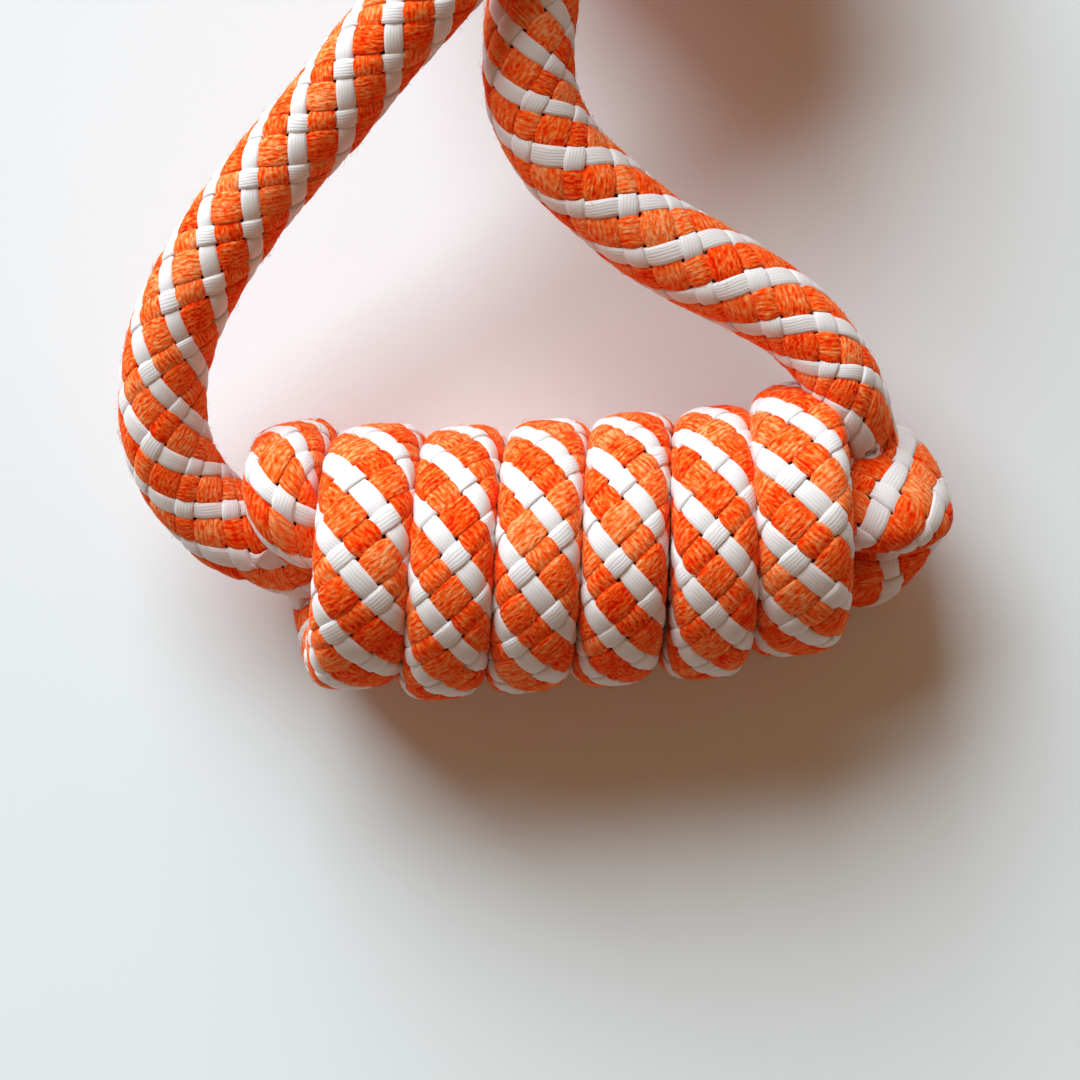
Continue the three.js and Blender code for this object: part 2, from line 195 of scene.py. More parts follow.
left_leg = leg_stations(LEFT_LEG, LEFT_LEG_FLAT, LEFT_LEG_LAY, LEFT_LEG_SPREAD)
right_leg = leg_stations(RIGHT_LEG, RIGHT_LEG_FLAT, RIGHT_LEG_LAY, RIGHT_LEG_SPREAD)

# %% [markdown]
# Inside the grip two strands lie side by side, flattened against each other, and turn about each
# other on the way through. At both ends they are shifted towards the legs, as the outermost turns
# are.

# %% The strands in the bore
BORE_THIN = 4.1 * MM
BORE_WIDE = 7.0 * MM
BORE_OFFSET = 4.3 * MM
BORE_HALF_LENGTH = 0.9 * GRIP_HALF
BORE_STATIONS = 9
BORE_START_ANGLE, BORE_TWIST = -70, 154
END_TURN_SHIFT = 2.9 * MM
BORE_SHIFT = 0.6 * END_TURN_SHIFT
BORE_SHIFT_FROM_SHARE = 0.6


def bore_stations(turned_by):
    rows = []
    for share in np.linspace(0, 1, BORE_STATIONS):
        angle = math.radians(BORE_START_ANGLE + turned_by + BORE_TWIST * share)
        thin_way = (0, math.cos(angle), math.sin(angle))
        from_middle = 2 * share - 1
        shift = BORE_SHIFT * smoothstep(abs(from_middle), BORE_SHIFT_FROM_SHARE, 1)
        point = (
            BORE_HALF_LENGTH * from_middle,
            BORE_OFFSET * thin_way[1] + shift,
            BORE_OFFSET * thin_way[2],
        )
        rows.append(station(point, thin_way, BORE_WIDE, BORE_THIN, ROUND, BORE_LEAD))
    return rows


left_bore, right_bore = bore_stations(0), bore_stations(180)

# %% [markdown]
# The winding is a left-handed spiral of six turns. Its outermost turns are pulled a little towards
# the legs and are wider. The turns on the right lean more, the further out they lie, and those on
# the left are crowded. Neighbours press each other, so the section is a bit square. Each turn has
# its own slip and roll at its top, as the photo shows them. Angles are in degrees and count from
# the top of the rightmost turn.

# %% The turns
FIRST_ANGLE = -205
LAST_TURN = (TURNS - 1) * 360
LAST_ANGLE = LAST_TURN + 262
TURN_STATIONS = 160
TURN_LEAN = 0.24 * TURN_PITCH
WOUND_WIDE = 7.3 * MM
END_TURN_WIDE = 8.2 * MM
WOUND_THIN = 6.95 * MM
WIDER_TURNS = (1.8, 2.4)
LEFT_CROWDING = 0.5 * MM
RIGHT_SHIFT_ENDS = (60, 270)
LEFT_SHIFT_STARTS = (-240, 60)
TURN_SLIPS = (-0.32, -0.4, -0.55, -0.3, -0.32, -0.27)
TURN_ROLLS = (-0.38, 0.15, 0.15, 0.05, -0.33, -0.83)


def turn_point(angle):
    from_middle = angle / 360 - MIDDLE_TURN
    lean = TURN_LEAN * min(from_middle, 0) / MIDDLE_TURN
    sine, cosine = math.sin(math.radians(angle)), math.cos(math.radians(angle))
    shift = (
        1 - smoothstep(angle, *RIGHT_SHIFT_ENDS) + smoothstep(angle - LAST_TURN, *LEFT_SHIFT_STARTS)
    )
    return np.array([
        -from_middle * TURN_PITCH - lean / 2 * sine + LEFT_CROWDING * max(from_middle + 0.5, 0),
        -WRAP_RADIUS * sine + END_TURN_SHIFT * shift,
        WRAP_RADIUS * cosine,
    ])


def turn_stations():
    rows = []
    for angle in np.linspace(FIRST_ANGLE, LAST_ANGLE, TURN_STATIONS):
        point = turn_point(angle)
        turn = angle / 360
        outermost = smoothstep(abs(turn - MIDDLE_TURN), *WIDER_TURNS)
        wide = WOUND_WIDE + outermost * (END_TURN_WIDE - WOUND_WIDE)
        slip = np.interp(turn, range(TURNS), TURN_SLIPS)
        roll = np.interp(turn, range(TURNS), TURN_ROLLS)
        rows.append(station(
            point, (0, point[1], point[2]), wide, WOUND_THIN, PRESSED, WOUND_LEAD,
            slip=slip, roll=roll,
        ))
    return rows


# %% [markdown]
# A bight joins the bore to the turns at each end. Both are short tight bends with points given one
# by one. The right one spreads out wide, as the photo shows. A rope that is pressed wide keeps its
# girth, so the braid is spread the less, the wider the section is. A row holds the place, half the
# width, half the thickness and the lead there in millimetres, the slip and the roll.

# %% The bights
RIGHT_BIGHT = [
    ((0.19, 0.28, 0.29), 7.8, 4.6, 36, -0.1, 0.1),
    ((0.56, 0.38, 0.3), 11, 5.2, 36, -0.12, 0.1),
    ((0.95, 0.44, 0.19), 12.4, 5.8, 36, -0.16, 0),
    ((1.3, 0.38, -0.14), 11.4, 6.2, 36, -0.1, 0),
    ((1.04, -0.1, -0.55), 8, 6.8, 46, -0.15, -0.1),
    ((0.75, -0.36, -0.82), 7.5, 6.9, 46, -0.2, -0.2),
]
RIGHT_BEND = in_grip(0.6, 0.1, -0.3)
LEFT_BIGHT = [
    ((-0.66, 1.15, 0.25), 6.8, 6.7, 38, 0.45, -0.4),
    ((-0.74, 0.94, 0.53), 6.7, 6.5, 38, 0.58, -0.42),
    ((-0.72, 0.66, 0.57), 6.3, 6.1, 38, 0.63, -0.13),
    ((-0.54, 0.43, 0.44), 6.1, 5.6, 38, 0.33, 0.07),
    ((-0.24, 0.28, 0.325), 6.4, 4.9, 38, 0.1, 0),
    ((-0.02, 0.08, 0.26), 6.8, 4.4, 38, 0, 0),
]
LEFT_BEND = in_grip(-0.46, 0.31, -0.19)


def bight_stations(rows, bend_middle):
    made = []
    for place, wide, thin, lead, slip, roll in rows:
        point = in_grip(*place)
        away = point - bend_middle
        away = away / np.linalg.norm(away)
        wide, thin, lead = wide * MM, thin * MM, lead * MM
        spread = ROPE / 2 / wide - 1
        made.append(station(point, away, wide, thin, FLATTENED, lead, spread, slip, roll))
    return made


# %% [markdown]
# At its two mouths the rope opens from its flattened shape in the bore to the round shape of a
# leg. A row holds the place, half the width and half the thickness in millimetres.

# %% The mouths
LEFT_MOUTH = [((-0.83, 0.245, -0.26), 7.2, 5.9), ((-0.5, 0.14, -0.268), 7.1, 4.8)]
RIGHT_MOUTH = [
    ((0.4, 0.15, -0.3), 7.0, 4.7), ((0.68, 0.46, -0.27), 7.0, 5.6), ((0.74, 0.75, -0.09), 7.1, 6.5),
]


def mouth_stations(rows, thin_way):
    return [
        station(in_grip(*place), thin_way, wide * MM, thin * MM, ROUND, BORE_LEAD)
        for place, wide, thin in rows
    ]


# %% [markdown]
# ## One rope
#
# The stretches are joined into one long route in the order in which the rope runs: from the ball
# down the left leg, through the bore, round the right bight, through all the turns, round the left
# bight, back through the bore and up the right leg.

# %% The stretches in order
stretches = [
    ("rope_leg_left", left_leg),
    ("grip_core_strand_left_leg", mouth_stations(LEFT_MOUTH, left_bore[0][THIN_WAY]) + left_bore),
    ("grip_winding", bight_stations(RIGHT_BIGHT, RIGHT_BEND)
     + turn_stations() + bight_stations(LEFT_BIGHT, LEFT_BEND)),
    ("grip_core_strand_right_leg",
     right_bore + mouth_stations(RIGHT_MOUTH, right_bore[-1][THIN_WAY])),
    ("rope_leg_right", right_leg[::-1]),
]
for name, rows in stretches:
    print(f"{name}: {len(rows)} stations")

# %% [markdown]
# A smooth curve goes through the stations, with every value riding along. The stations count by
# the square root of their distance, which keeps the curve from looping where they lie close
# together. Then the curve is cut into even steps.

# %% A smooth route
STEP = 0.25 * MM
FINE_PARTS = 40


def smooth_route(stations):
    """A curve through the stations with every value riding along, in even steps of length."""
    rows = np.array(stations)
    gaps = np.sqrt(np.linalg.norm(np.diff(rows[:, POINT], axis=0), axis=1))
    knots = np.concatenate([[0], np.cumsum(gaps)])
    slopes = np.diff(rows, axis=0) / gaps[:, None]
    tangents = np.empty_like(rows)
    tangents[0], tangents[-1] = slopes[0], slopes[-1]
    before, after = gaps[:-1, None], gaps[1:, None]
    tangents[1:-1] = (slopes[:-1] * after + slopes[1:] * before) / (before + after)
    fine = np.linspace(0, knots[-1], FINE_PARTS * len(rows))
    span = np.clip(np.searchsorted(knots, fine, side="right") - 1, 0, len(gaps) - 1)
    h = gaps[span][:, None]
    t = (fine - knots[span])[:, None] / h
    curve = (
        (2 * t**3 - 3 * t**2 + 1) * rows[span]
        + (t**3 - 2 * t**2 + t) * h * tangents[span]
        + (3 * t**2 - 2 * t**3) * rows[span + 1]
        + (t**3 - t**2) * h * tangents[span + 1]
    )
    steps = np.linalg.norm(np.diff(curve[:, POINT], axis=0), axis=1)
    length = np.concatenate([[0], np.cumsum(steps)])
    even = np.linspace(0, length[-1], int(length[-1] / STEP) + 1)
    return even, np.stack([np.interp(even, length, column) for column in curve.T], axis=1)


# %% [markdown]
# The frame along the curve is carried without twist, so the braid runs on through every bend. The
# braid is counted in squares along the rope. FIRST_WAY and BRAID_START only say how the pattern
# lies at the ball.

# %% The rope along its route
FIRST_WAY = [0.3, 0.2, 0.93]
BRAID_START = 0.79


def unit(rows):
    return rows / np.linalg.norm(rows, axis=-1, keepdims=True)


def make_rope(stations, place):
    """The rope as arrays along its length. place moves the route's own axes into the frame."""
    length, rows = smooth_route(stations)
    wide, thin, square, lead, spread, slip, roll = rows[:, VALUES].T
    turn, shift = place
    points = rows[:, POINT] @ turn.T + shift
    tangents = unit(np.gradient(points, axis=0))
    normals = np.empty_like(points)
    carried = np.cross(tangents[0], FIRST_WAY)
    for k, tangent in enumerate(tangents):
        carried = carried - carried.dot(tangent) * tangent
        carried = carried / np.linalg.norm(carried)
        normals[k] = carried
    thin_way = rows[:, THIN_WAY] @ turn.T
    thin_way = unit(thin_way - np.sum(thin_way * tangents, axis=1)[:, None] * tangents)
    squares = np.cumsum(STRANDS_EACH_WAY * np.gradient(length) / lead)
    return {
        "length": length,
        "points": points,
        "across": normals,
        "up": np.cross(tangents, normals),
        "thin_way": thin_way,
        "wide_way": np.cross(thin_way, tangents),
        "wide": wide,
        "thin": thin,
        "square": square,
        "spread": spread,
        "roll": roll * 2 * math.pi / STRANDS_EACH_WAY,
        "braid": BRAID_START + squares + slip,
    }


def place_of(rope, point, first=0, last=None):
    """The index of the rope's step nearest to a point of the grip's own axes."""
    away = rope["points"][first:last] - (np.array(point) + GRIP_AXIS)
    return first + int(np.argmin(np.linalg.norm(away, axis=1)))


main_rope = make_rope(sum((rows for _, rows in stretches), []), (np.eye(3), GRIP_AXIS))
print(f"{main_rope['length'][-1]:.2f} m of rope in the grip and the legs")

# %% [markdown]
# ## The braid
#
# Eight strands wind one way and eight the other, each over one and under one. Seen flat, the rope
# is a grid of small squares, and on each square one strand lies on top. That short visible stretch
# is called a float. White and orange strands take turns both ways, so the white floats line up in
# bands that wind round the rope.
#
# A texture can't give the bumpy outline or the dark holes between the floats, and a displaced tube
# smears the edges where one strand dives under another. So each float is its own small pillow of
# mesh. The first step is to find a point on the rope's skin, from a count of squares along the
# rope and an angle round it.

# %% The rope's skin
def at(rope, braid, key):
    """The rope's values at a row of braid counts."""
    place = np.interp(braid, rope["braid"], np.arange(len(rope["braid"])))
    low = np.clip(place.astype(int), 0, len(rope["braid"]) - 2)
    part = place - low
    values = rope[key]
    if values.ndim == 2:
        part = part[..., None]
    return values[low] * (1 - part) + values[low + 1] * part


def on_rope(rope, braid, angle, height):
    """Points on the rope's skin, height over it."""
    angle = angle - at(rope, braid, "roll")
    cosine, sine = np.cos(angle)[..., None], np.sin(angle)[..., None]
    out = cosine * at(rope, braid, "across") + sine * at(rope, braid, "up")
    thin_way, wide_way = at(rope, braid, "thin_way"), at(rope, braid, "wide_way")
    turned = np.arctan2(np.sum(out * thin_way, axis=-1), np.sum(out * wide_way, axis=-1))
    turned = turned - at(rope, braid, "spread") / 2 * np.sin(2 * turned)
    to_thin, to_wide = np.sin(turned), np.cos(turned)
    square = at(rope, braid, "square")
    reach = (np.abs(to_thin) ** square + np.abs(to_wide) ** square) ** (-1 / square)
    thin = at(rope, braid, "thin") * reach + height
    wide = at(rope, braid, "wide") * reach + height
    return (
        at(rope, braid, "points")
        + (to_thin * thin)[..., None] * thin_way
        + (to_wide * wide)[..., None] * wide_way
    )


# %% [markdown]
# Every part of the rope's mesh is kept as arrays until the end: its points and faces, the yarn
# coordinates and the tone of each point, and the material slot of each face.

# %% A part of the mesh
COTTON_SLOT, WHITE_SLOT, HOLLOW_SHADE_SLOT, FIBRE_SLOT = range(4)


def mesh_part(points, faces, slot, yarn=0, tone=0):
    points, faces = points.reshape(-1, 3), faces.reshape(-1, 4)
    return {
        "points": points,
        "faces": faces,
        "slot": np.full(len(faces), slot),
        "yarn": np.zeros((len(points), 2)) + yarn,
        "tone": np.zeros(len(points)) + tone,
    }


# %% [markdown]
# A float is a pillow whose ends dive under its neighbours and whose sides fold down. White strands
# are thinner than orange ones, so the squares aren't all equal, and half a float's size is given in
# squares. No two floats are quite alike: each is moved, widened and lifted by a little chance. All
# floats of a stretch are computed together as arrays, because there are hundreds of them.

# %% The shape of a float
WHITE_HALF, ORANGE_HALF = 0.385, 0.615
WHITE_CROSS_HALF, ORANGE_CROSS_HALF = 0.39, 0.61
WHITE_TAPER, ORANGE_TAPER = 0.08, 0.19
WHITE_FOLD, ORANGE_FOLD = 0.34 * MM, 0.26 * MM
ARCH = 0.3 * MM
WALL = 0.5 * MM
DIVE = 0.18
ARCH_POWER, FOLD_POWER, TAPER_POWER = 2.4, 3.4, 4
PLACE_CHANCE, WIDTH_CHANCE, LIFT_CHANCE = 0.018, 0.035, 0.05 * MM
WHITE_CROSS_LIFT = 0.1 * MM
SQUARE_MM = 4.1
YARN_ROOM = 50
ALONG = np.linspace(-1, 1, 10)
SIDES = np.array([-1, -1, -0.86, -0.6, -0.2, 0.2, 0.6, 0.86, 1, 1])
SIDE_DROPS = np.array([1, 0, 0, 0, 0, 0, 0, 0, 0, 1])

# %% [markdown]
# In the grid, a strand of the one way keeps its number i and a strand of the other way its number
# j. Where i + j is even, the strand i lies on top, along the bands, and otherwise the strand j,
# across them. A float is white where i is even, whichever strand lies on top.

# %% Floats
def floats(rope, start, end, seed):
    """All floats between two braid counts."""
    rng = np.random.default_rng(seed)
    rows = np.arange(math.ceil(2 * start), math.ceil(2 * end))
    row, k = np.meshgrid(rows, np.arange(STRANDS_EACH_WAY), indexing="ij")
    row, k = row.ravel(), k.ravel()
    difference = 2 * k + row % 2
    i, j = (row + difference) // 2, (row - difference) // 2
    banded, white = row % 2 == 0, i % 2 == 0
    half_i = np.where(white, WHITE_HALF, ORANGE_HALF)
    half_j = np.where(j % 2 == 0, ORANGE_CROSS_HALF, WHITE_CROSS_HALF)
    long_half, side_half = np.where(banded, (half_j, half_i), (half_i, half_j))
    count = len(row)
    moved = rng.normal(0, PLACE_CHANCE, (count, 2))[:, :, None, None]
    side_half = side_half * rng.normal(1.0, WIDTH_CHANCE, count)
    lift = rng.normal(0, LIFT_CHANCE, count) + np.where(white & ~banded, WHITE_CROSS_LIFT, 0)

    grid_shape = (count, len(ALONG), len(SIDES))
    i, j, banded, long_half, side_half, lift, whiter = (
        values[:, None, None] for values in (i, j, banded, long_half, side_half, lift, white)
    )
    side = np.broadcast_to(SIDES, grid_shape)
    reach = ALONG[:, None] * (long_half + DIVE) * np.ones(grid_shape)
    part = np.abs(reach) / long_half
    taper = np.where(whiter, WHITE_TAPER, ORANGE_TAPER)
    fold = np.where(whiter, WHITE_FOLD, ORANGE_FOLD)
    sideways = side * side_half * (1 - taper * np.clip(part, 0, 1) ** TAPER_POWER)
    height = (
        ARCH * (1 - part**ARCH_POWER)
        + fold * (1 - np.abs(side) ** FOLD_POWER) ** 0.5
        - (ARCH + fold)
        - WALL * SIDE_DROPS
        + lift
    )
    u = i + moved[:, 0] + np.where(banded, sideways, reach)
    v = j + moved[:, 1] + np.where(banded, reach, sideways)
    points = on_rope(rope, (u + v) / 2, math.pi * (u - v) / STRANDS_EACH_WAY, height)

    grid = np.arange(count * len(ALONG) * len(SIDES)).reshape(grid_shape)
    corners = [grid[:, :-1, :-1], grid[:, 1:, :-1], grid[:, 1:, 1:], grid[:, :-1, 1:]]
    quads = np.stack(corners, axis=-1)
    quads = np.where(banded[..., None], quads[..., ::-1], quads)
    yarn = np.stack([sideways, reach], axis=-1) * SQUARE_MM
    yarn = yarn + rng.uniform(0, YARN_ROOM, (count, 1, 1, 2))
    tone = np.repeat(rng.uniform(0, 1, count), len(ALONG) * len(SIDES))
    slot = np.repeat(np.where(white, WHITE_SLOT, COTTON_SLOT), quads[0, ..., 0].size)
    return mesh_part(points, quads, slot, yarn.reshape(-1, 2), tone)


# %% [markdown]
# Behind the floats there is a hollow, and the shade in it shows as dark pinholes at their corners.
# A plain dark lining under the skin paints that shade.

# %% Lining
LINING_DEPTH = 1.2 * MM
LINING_SIDES = 24
LINING_RINGS_PER_SQUARE = 3
LINING_FEWEST_RINGS = 4


def tube_faces(grid):
    """The faces of tubes whose points are numbered by step and, last, by side."""
    beside = np.roll(grid, -1, axis=-1)
    corners = [grid[..., :-1, :], beside[..., :-1, :], beside[..., 1:, :], grid[..., 1:, :]]
    return np.stack(corners, axis=-1)


def lining(rope, start, end):
    rings = max(int((end - start) * LINING_RINGS_PER_SQUARE), LINING_FEWEST_RINGS)
    around = np.linspace(0, 2 * math.pi, LINING_SIDES, endpoint=False)
    braid, angle = np.meshgrid(np.linspace(start, end, rings), around, indexing="ij")
    points = on_rope(rope, braid, angle, -LINING_DEPTH)
    grid = np.arange(rings * LINING_SIDES).reshape(rings, LINING_SIDES)
    # The lining carries the dark painted shade of the hollow behind the floats.
    return mesh_part(points, tube_faces(grid), HOLLOW_SHADE_SLOT)


# %% [markdown]
# Cotton is fuzzy. Short stray fibres stand a little off the orange floats and soften the outline.
# Each fibre is a thin three-sided tube of a few steps. A particle system could do it, but it would
# have to be turned into a mesh for the export. The fibres are dense on the grip and the legs, and
# sparser on the ball, to keep its pieces small, and in the bore, where nobody sees them. Their
# number is counted per square along the rope.

# %% Stray fibres
DENSE_FUZZ, SPARSE_FUZZ = 340, 120
FIBRE_RADIUS = 0.032 * MM
FIBRE_TAPER = 0.6
FIBRE_STEPS, FIBRE_SIDES = 3, 3
FIBRE_SIZE_SHAPE, FIBRE_SIZE_SCALE = 2.5, 0.22 * MM
FIBRE_CURL = 1.2
FIBRE_RISES, FIBRE_ARCS = (0.15, 0.75), (1.2, 3.0)
FIBRE_ROOTS = (-0.5 * MM, -0.1 * MM)
FIBRE_ALONG, FIBRE_ROUND = 0.9, 0.7


def fibres(rope, start, end, seed, per_square):
    rng = np.random.default_rng(seed)
    count = int((end - start) * per_square)
    braid = rng.uniform(start, end, count)
    angle = rng.uniform(0, 2 * math.pi, count)
    i = braid + angle * STRANDS_EACH_WAY / (2 * math.pi)
    cotton = np.abs((i + 1) % 2 - 1) > WHITE_HALF
    braid, angle = braid[cotton][:, None], angle[cotton][:, None]
    count = len(braid)
    t = np.linspace(0, 1, FIBRE_STEPS)[None, :]
    way = rng.uniform(0, 2 * math.pi, (count, 1))
    size = rng.gamma(FIBRE_SIZE_SHAPE, FIBRE_SIZE_SCALE, (count, 1))
    bearing = way + rng.normal(0, FIBRE_CURL, (count, 1)) * t
    run = size * t / (SQUARE_MM * MM)
    rise = rng.uniform(*FIBRE_RISES, (count, 1)) * size
    rise = rise * np.sin(t * rng.uniform(*FIBRE_ARCS, (count, 1)))
    root = rng.uniform(*FIBRE_ROOTS, (count, 1))
    centre = on_rope(
        rope,
        braid + run * np.cos(bearing) * FIBRE_ALONG,
        angle + run * np.sin(bearing) * FIBRE_ROUND,
        root + rise,
    )
    tangent = unit(np.gradient(centre, axis=1))
    side = unit(np.cross(tangent, rng.normal(0, 1, (count, 1, 3))))
    other = np.cross(tangent, side)
    radius = (1 - FIBRE_TAPER * t)[..., None] * FIBRE_RADIUS
    points = np.stack([
        centre + radius * (math.cos(turned) * side + math.sin(turned) * other)
        for turned in np.arange(FIBRE_SIDES) * 2 * math.pi / FIBRE_SIDES
    ], axis=2)
    per_fibre = FIBRE_STEPS * FIBRE_SIDES
    grid = np.arange(count * per_fibre).reshape(count, FIBRE_STEPS, FIBRE_SIDES)
    tone = np.repeat(rng.uniform(0, 1, count), per_fibre)
    return mesh_part(points, tube_faces(grid), FIBRE_SLOT, tone=tone)


# %% [markdown]
# ## Materials
#
# Three finishes show. The cotton is dyed orange, dull and fuzzy, with the grooves of its yarns
# along each float. The white yarn is smoother and shines along its length. The pinholes are painted
# shade: a dark lining under the skin.
# Every float carries its own coordinates, across and along the strand in millimetres, so that the
# grooves follow the yarn on every float. First come a few helpers that add nodes and join them.

# %% Node helpers
def new_material(name):
    material = bpy.data.materials.new(name)
    material.use_nodes = True
    return material, material.node_tree, material.node_tree.nodes["Principled BSDF"]


def node(tree, kind, **settings):
    made = tree.nodes.new(kind)
    for key, value in settings.items():
        setattr(made, key, value)
    return made


def math_node(tree, operation, *values):
    made = node(tree, "ShaderNodeMath", operation=operation)
    for socket, value in zip(made.inputs, values):
        if isinstance(value, (int, float)):
            socket.default_value = value
        else:
            tree.links.new(value, socket)
    return made.outputs[0]


def weighed(tree, *parts):
    """The sum of some values, each times its own weight."""
    total = None
    for value, weight in parts:
        part = math_node(tree, "MULTIPLY", value, weight)
        total = part if total is None else math_node(tree, "ADD", total, part)
    return total


def bump(tree, height, distance, strength, below=None):
    made = node(tree, "ShaderNodeBump")
    made.inputs["Distance"].default_value = distance
    made.inputs["Strength"].default_value = strength
    tree.links.new(height, made.inputs["Height"])
    if below is not None:
        tree.links.new(below, made.inputs["Normal"])
    return made.outputs[0]


def ramp(tree, factor, stops):
    made = node(tree, "ShaderNodeValToRGB")
    elements = made.color_ramp.elements
    while len(elements) < len(stops):
        elements.new(0.5)
    for element, (place, colour) in zip(elements, stops):
        element.position = place
        element.color = (*colour, 1)
    tree.links.new(factor, made.inputs[0])
    return made.outputs[0]


# %% [markdown]
# Two patterns follow the yarn. Noise that is stretched along the strand gives streaks and lint. The
# ridges are the single yarns of a strand, lying side by side, and waver a little.

# %% Patterns on the yarn
RIDGE_BEND_SCALES = (0.5, 0.35)


def stretched_noise(tree, across_scale, along_scale, detail=2.0):
    """Noise on the yarn coordinates, with its own scale across and along the strand."""
    uv = node(tree, "ShaderNodeUVMap", uv_map="yarn")
    mapping = node(tree, "ShaderNodeMapping")
    mapping.inputs["Scale"].default_value = (across_scale, along_scale, 1)
    tree.links.new(uv.outputs[0], mapping.inputs[0])
    noise = node(tree, "ShaderNodeTexNoise")
    noise.inputs["Scale"].default_value = 1
    noise.inputs["Detail"].default_value = detail
    tree.links.new(mapping.outputs[0], noise.inputs["Vector"])
    return noise.outputs["Fac"]


def yarn_ridges(tree, spacing, waver):
    """Rounded ridges along the strand: 0 in a groove, 1 on top."""
    uv = node(tree, "ShaderNodeUVMap", uv_map="yarn")
    parts = node(tree, "ShaderNodeSeparateXYZ")
    tree.links.new(uv.outputs[0], parts.inputs[0])
    bend = stretched_noise(tree, *RIDGE_BEND_SCALES)
    moved = weighed(tree, (parts.outputs[0], 1), (bend, waver))
    wave = math_node(tree, "SINE", math_node(tree, "MULTIPLY", moved, math.pi / spacing))
    return math_node(tree, "ABSOLUTE", wave)


# %% [markdown]
# The cotton's colour runs from deep red orange to pale peach on the lint. Ridges, lint, larger
# patches and the float's own tone are weighed together, and a ramp turns the sum into the colour.
# Lint, patches and tone are the cotton's own uneven colour, while the ridges' share paints shade
# into the grooves between the yarns. Hardly any gloss and some sheen make it dull and soft.

# %% Orange cotton
COTTON_COLOURS_AND_GROOVE_SHADE = [
    (0.5, (0.86, 0.012, 0.0002)), (0.59, (1.0, 0.07, 0.002)),
    (0.69, (1.0, 0.16, 0.026)), (0.82, (1.0, 0.37, 0.15)),
]
COTTON_SHEEN = (1.0, 0.45, 0.18, 1)


def make_cotton():
    material, tree, shader = new_material("orange_cotton")
    ridges = yarn_ridges(tree, 0.85, 1.6)
    lint = stretched_noise(tree, 2.6, 1.1, 4.0)
    patches = stretched_noise(tree, 0.7, 0.5, 3.0)
    tone = node(tree, "ShaderNodeAttribute", attribute_name="tone").outputs["Fac"]
    # The ridges' share darkens the grooves: painted shade. Lint, patches and tone are the cotton's
    # own uneven colour.
    tone_and_groove_shade = weighed(tree, (ridges, 0.1), (lint, 0.6), (patches, 0.45), (tone, 0.13))
    tree.links.new(ramp(tree, tone_and_groove_shade, COTTON_COLOURS_AND_GROOVE_SHADE), shader.inputs["Base Color"])
    shader.inputs["Roughness"].default_value = 0.92
    shader.inputs["Specular IOR Level"].default_value = 0.05
    shader.inputs["Sheen Weight"].default_value = 0.4
    shader.inputs["Sheen Roughness"].default_value = 0.35
    shader.inputs["Sheen Tint"].default_value = COTTON_SHEEN
    coarse = bump(tree, ridges, 0.05 * MM, 0.8)
    tree.links.new(bump(tree, lint, 0.22 * MM, 1.0, coarse), shader.inputs["Normal"])
    return material


# %% [markdown]
# The white yarn is made of fine straight hairs, so its noise is stretched much further, its ridges
# are closer together, and it has more gloss. Its colour is weighed from the ridges and the hairs,
# and the ridges' share paints shade into the grooves between them.

# %% White yarn
WHITE_COLOURS_AND_GROOVE_SHADE = [
    (0.15, (0.72, 0.63, 0.62)), (0.5, (0.81, 0.72, 0.715)), (0.85, (0.85, 0.775, 0.785)),
]


def make_white():
    material, tree, shader = new_material("white_yarn")
    ridges = yarn_ridges(tree, 0.5, 0.6)
    hairs = stretched_noise(tree, 9.0, 0.5, 3.0)
    # The ridges' share darkens the grooves between the hairs: painted shade.
    tone_and_groove_shade = weighed(tree, (ridges, 0.3), (hairs, 0.6))
    tree.links.new(ramp(tree, tone_and_groove_shade, WHITE_COLOURS_AND_GROOVE_SHADE), shader.inputs["Base Color"])
    shader.inputs["Roughness"].default_value = 0.6
    shader.inputs["Specular IOR Level"].default_value = 0.25
    shader.inputs["Sheen Weight"].default_value = 0.15
    coarse = bump(tree, ridges, 0.035 * MM, 0.8)
    tree.links.new(bump(tree, hairs, 0.06 * MM, 0.8, coarse), shader.inputs["Normal"])
    return material


# %% [markdown]
# The painted shade of the hollow, the single fibres and later the core ball need no pattern of
# their own. A fine grain between two close colours keeps them from looking flat.

# %% Hollow and fibres
GRAIN_STOPS = (0.3, 0.7)


def make_grained(name, grain, dark, light, roughness):
    material, tree, shader = new_material(name)
    noise = node(tree, "ShaderNodeTexNoise")
    noise.inputs["Scale"].default_value = grain
    place = node(tree, "ShaderNodeTexCoord")
    tree.links.new(place.outputs["Object"], noise.inputs["Vector"])
    colour = ramp(tree, noise.outputs["Fac"], list(zip(GRAIN_STOPS, (dark, light))))
    tree.links.new(colour, shader.inputs["Base Color"])
    shader.inputs["Roughness"].default_value = roughness
    return material


ROPE_MATERIALS = {
    COTTON_SLOT: make_cotton(),
    WHITE_SLOT: make_white(),
    # Painted shade: the dark lining stands for the shade in the hollow behind the floats.
    HOLLOW_SHADE_SLOT: make_grained(
        "braid_hollow_shade", 900, (0.0315, 0.0175, 0.014), (0.045, 0.025, 0.02), roughness=1.0,
    ),
    FIBRE_SLOT: make_grained(
        "lint_fibre", 900, (0.7, 0.196, 0.063), (1.0, 0.28, 0.09), roughness=0.9,
    ),
}
print("materials:", [material.name for material in ROPE_MATERIALS.values()])

# %% [markdown]
# ## From arrays to a piece
#
# The floats, the lining and the fibres of a stretch become one mesh. Its yarn coordinates are a UV
# map, and each float's tone is an attribute. The rope's underside lies flat on the table.

# %% A piece of rope
TABLE_GAP = 0.05 * MM


